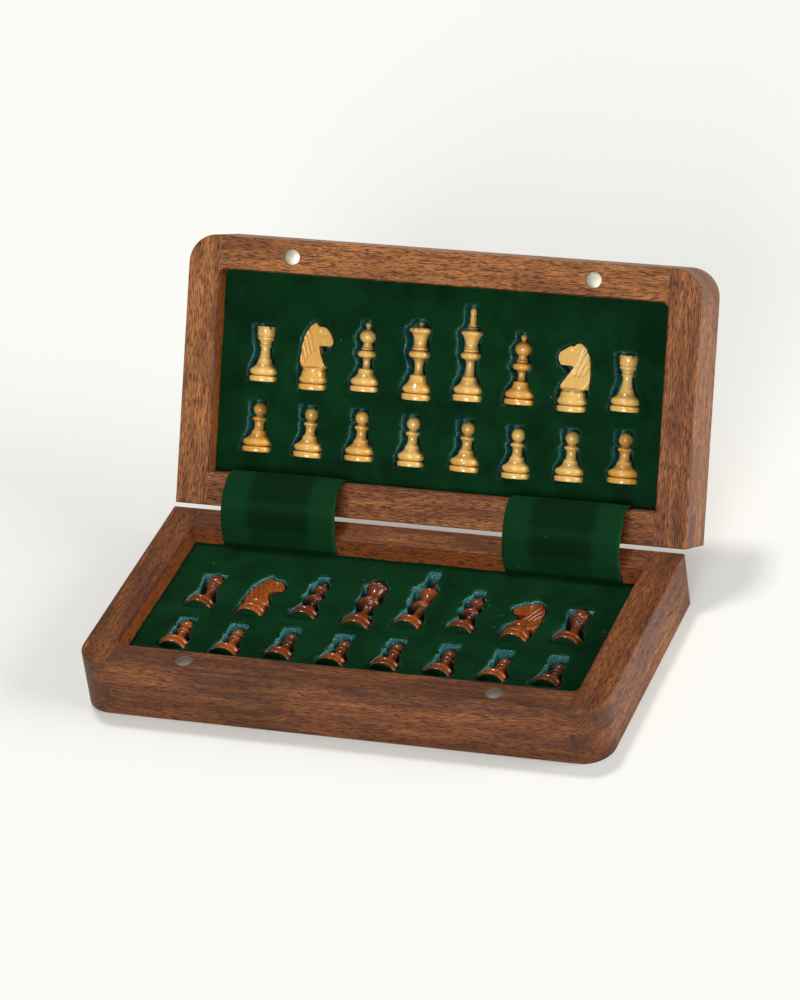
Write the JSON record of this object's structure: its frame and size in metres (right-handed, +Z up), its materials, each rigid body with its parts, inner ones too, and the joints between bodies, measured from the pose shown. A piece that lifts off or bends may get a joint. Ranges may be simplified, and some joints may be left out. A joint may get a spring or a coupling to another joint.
{
  "type": "chess box with hinged lid",
  "caption": "Folding wooden travel chess box, open on two hinges with velvet straps, with magnetic chessmen lying in die-cut velvet trays in the base and the lid.",
  "frame": {"origin": "centre of the underside of the base half, on the surface that it stands on", "axes": "+X along the hinges to the right, +Y from the free edge to the hinges, +Z up"},
  "size_m": [0.18, 0.1547, 0.0994],
  "materials": {
    "case_wood": "oiled open-pored hardwood",
    "plywood": "plain sanded board",
    "steel": "plain thin sheet",
    "light_square": "satin inlay",
    "dark_square": "satin inlay",
    "foam": "cut foam",
    "velvet": "flocked velvet",
    "strap_velvet": "velvet ribbon",
    "magnet": "nickel plated disc",
    "brass": "satin brass",
    "boxwood": "polished turned wood",
    "dark_wood": "polished turned wood"
  },
  "bodies": {
    "base": {"base_front_rail": "case_wood", "base_back_rail": "case_wood", "base_left_rail": "case_wood", "base_right_rail": "case_wood", "base_board_panel": "plywood", "base_steel_sheet": "steel", "base_light_squares": "light_square", "base_dark_squares": "dark_square", "base_foam_tray": "foam", "base_velvet": "velvet", "base_magnets": "magnet", "hinge_base_leaves": "brass", "hinge_pins": "steel", "hinge_base_screws": "brass", "straps": "strap_velvet"},
    "lid": {"lid_front_rail": "case_wood", "lid_back_rail": "case_wood", "lid_left_rail": "case_wood", "lid_right_rail": "case_wood", "lid_board_panel": "plywood", "lid_steel_sheet": "steel", "lid_light_squares": "light_square", "lid_dark_squares": "dark_square", "lid_foam_tray": "foam", "lid_velvet": "velvet", "lid_magnets": "magnet", "hinge_lid_leaves": "brass", "hinge_lid_screws": "brass"},
    "light_left_rook": {"light_left_rook": "boxwood"},
    "light_left_knight": {"light_left_knight": "boxwood"},
    "light_left_bishop": {"light_left_bishop": "boxwood"},
    "light_queen": {"light_queen": "boxwood"},
    "light_king": {"light_king": "boxwood"},
    "light_right_bishop": {"light_right_bishop": "boxwood"},
    "light_right_knight": {"light_right_knight": "boxwood"},
    "light_right_rook": {"light_right_rook": "boxwood"},
    "light_pawn_1": {"light_pawn_1": "boxwood"},
    "light_pawn_2": {"light_pawn_2": "boxwood"},
    "light_pawn_3": {"light_pawn_3": "boxwood"},
    "light_pawn_4": {"light_pawn_4": "boxwood"},
    "light_pawn_5": {"light_pawn_5": "boxwood"},
    "light_pawn_6": {"light_pawn_6": "boxwood"},
    "light_pawn_7": {"light_pawn_7": "boxwood"},
    "light_pawn_8": {"light_pawn_8": "boxwood"},
    "dark_left_rook": {"dark_left_rook": "dark_wood"},
    "dark_left_knight": {"dark_left_knight": "dark_wood"},
    "dark_left_bishop": {"dark_left_bishop": "dark_wood"},
    "dark_queen": {"dark_queen": "dark_wood"},
    "dark_king": {"dark_king": "dark_wood"},
    "dark_right_bishop": {"dark_right_bishop": "dark_wood"},
    "dark_right_knight": {"dark_right_knight": "dark_wood"},
    "dark_right_rook": {"dark_right_rook": "dark_wood"},
    "dark_pawn_1": {"dark_pawn_1": "dark_wood"},
    "dark_pawn_2": {"dark_pawn_2": "dark_wood"},
    "dark_pawn_3": {"dark_pawn_3": "dark_wood"},
    "dark_pawn_4": {"dark_pawn_4": "dark_wood"},
    "dark_pawn_5": {"dark_pawn_5": "dark_wood"},
    "dark_pawn_6": {"dark_pawn_6": "dark_wood"},
    "dark_pawn_7": {"dark_pawn_7": "dark_wood"},
    "dark_pawn_8": {"dark_pawn_8": "dark_wood"}
  },
  "joints": [
    {"name": "lid_hinge", "type": "hinge", "parent": "base", "child": "lid", "pos_m": [0, 0.04608, 0.0202], "axis": [-1, 0, 0], "range_deg": [-120, 60], "deforming": ["straps"]},
    {"name": "lift_light_left_rook", "type": "slide", "parent": "lid", "child": "light_left_rook", "axis": [0, -0.866, 0.5], "range_m": [0, 0.03]},
    {"name": "lift_light_left_knight", "type": "slide", "parent": "lid", "child": "light_left_knight", "axis": [0, -0.866, 0.5], "range_m": [0, 0.03]},
    {"name": "lift_light_left_bishop", "type": "slide", "parent": "lid", "child": "light_left_bishop", "axis": [0, -0.866, 0.5], "range_m": [0, 0.03]},
    {"name": "lift_light_queen", "type": "slide", "parent": "lid", "child": "light_queen", "axis": [0, -0.866, 0.5], "range_m": [0, 0.03]},
    {"name": "lift_light_king", "type": "slide", "parent": "lid", "child": "light_king", "axis": [0, -0.866, 0.5], "range_m": [0, 0.03]},
    {"name": "lift_light_right_bishop", "type": "slide", "parent": "lid", "child": "light_right_bishop", "axis": [0, -0.866, 0.5], "range_m": [0, 0.03]},
    {"name": "lift_light_right_knight", "type": "slide", "parent": "lid", "child": "light_right_knight", "axis": [0, -0.866, 0.5], "range_m": [0, 0.03]},
    {"name": "lift_light_right_rook", "type": "slide", "parent": "lid", "child": "light_right_rook", "axis": [0, -0.866, 0.5], "range_m": [0, 0.03]},
    {"name": "lift_light_pawn_1", "type": "slide", "parent": "lid", "child": "light_pawn_1", "axis": [0, -0.866, 0.5], "range_m": [0, 0.03]},
    {"name": "lift_light_pawn_2", "type": "slide", "parent": "lid", "child": "light_pawn_2", "axis": [0, -0.866, 0.5], "range_m": [0, 0.03]},
    {"name": "lift_light_pawn_3", "type": "slide", "parent": "lid", "child": "light_pawn_3", "axis": [0, -0.866, 0.5], "range_m": [0, 0.03]},
    {"name": "lift_light_pawn_4", "type": "slide", "parent": "lid", "child": "light_pawn_4", "axis": [0, -0.866, 0.5], "range_m": [0, 0.03]},
    {"name": "lift_light_pawn_5", "type": "slide", "parent": "lid", "child": "light_pawn_5", "axis": [0, -0.866, 0.5], "range_m": [0, 0.03]},
    {"name": "lift_light_pawn_6", "type": "slide", "parent": "lid", "child": "light_pawn_6", "axis": [0, -0.866, 0.5], "range_m": [0, 0.03]},
    {"name": "lift_light_pawn_7", "type": "slide", "parent": "lid", "child": "light_pawn_7", "axis": [0, -0.866, 0.5], "range_m": [0, 0.03]},
    {"name": "lift_light_pawn_8", "type": "slide", "parent": "lid", "child": "light_pawn_8", "axis": [0, -0.866, 0.5], "range_m": [0, 0.03]},
    {"name": "lift_dark_left_rook", "type": "slide", "parent": "base", "child": "dark_left_rook", "axis": [0, 0, 1], "range_m": [0, 0.03]},
    {"name": "lift_dark_left_knight", "type": "slide", "parent": "base", "child": "dark_left_knight", "axis": [0, 0, 1], "range_m": [0, 0.03]},
    {"name": "lift_dark_left_bishop", "type": "slide", "parent": "base", "child": "dark_left_bishop", "axis": [0, 0, 1], "range_m": [0, 0.03]},
    {"name": "lift_dark_queen", "type": "slide", "parent": "base", "child": "dark_queen", "axis": [0, 0, 1], "range_m": [0, 0.03]},
    {"name": "lift_dark_king", "type": "slide", "parent": "base", "child": "dark_king", "axis": [0, 0, 1], "range_m": [0, 0.03]},
    {"name": "lift_dark_right_bishop", "type": "slide", "parent": "base", "child": "dark_right_bishop", "axis": [0, 0, 1], "range_m": [0, 0.03]},
    {"name": "lift_dark_right_knight", "type": "slide", "parent": "base", "child": "dark_right_knight", "axis": [0, 0, 1], "range_m": [0, 0.03]},
    {"name": "lift_dark_right_rook", "type": "slide", "parent": "base", "child": "dark_right_rook", "axis": [0, 0, 1], "range_m": [0, 0.03]},
    {"name": "lift_dark_pawn_1", "type": "slide", "parent": "base", "child": "dark_pawn_1", "axis": [0, 0, 1], "range_m": [0, 0.03]},
    {"name": "lift_dark_pawn_2", "type": "slide", "parent": "base", "child": "dark_pawn_2", "axis": [0, 0, 1], "range_m": [0, 0.03]},
    {"name": "lift_dark_pawn_3", "type": "slide", "parent": "base", "child": "dark_pawn_3", "axis": [0, 0, 1], "range_m": [0, 0.03]},
    {"name": "lift_dark_pawn_4", "type": "slide", "parent": "base", "child": "dark_pawn_4", "axis": [0, 0, 1], "range_m": [0, 0.03]},
    {"name": "lift_dark_pawn_5", "type": "slide", "parent": "base", "child": "dark_pawn_5", "axis": [0, 0, 1], "range_m": [0, 0.03]},
    {"name": "lift_dark_pawn_6", "type": "slide", "parent": "base", "child": "dark_pawn_6", "axis": [0, 0, 1], "range_m": [0, 0.03]},
    {"name": "lift_dark_pawn_7", "type": "slide", "parent": "base", "child": "dark_pawn_7", "axis": [0, 0, 1], "range_m": [0, 0.03]},
    {"name": "lift_dark_pawn_8", "type": "slide", "parent": "base", "child": "dark_pawn_8", "axis": [0, 0, 1], "range_m": [0, 0.03]}
  ]
}
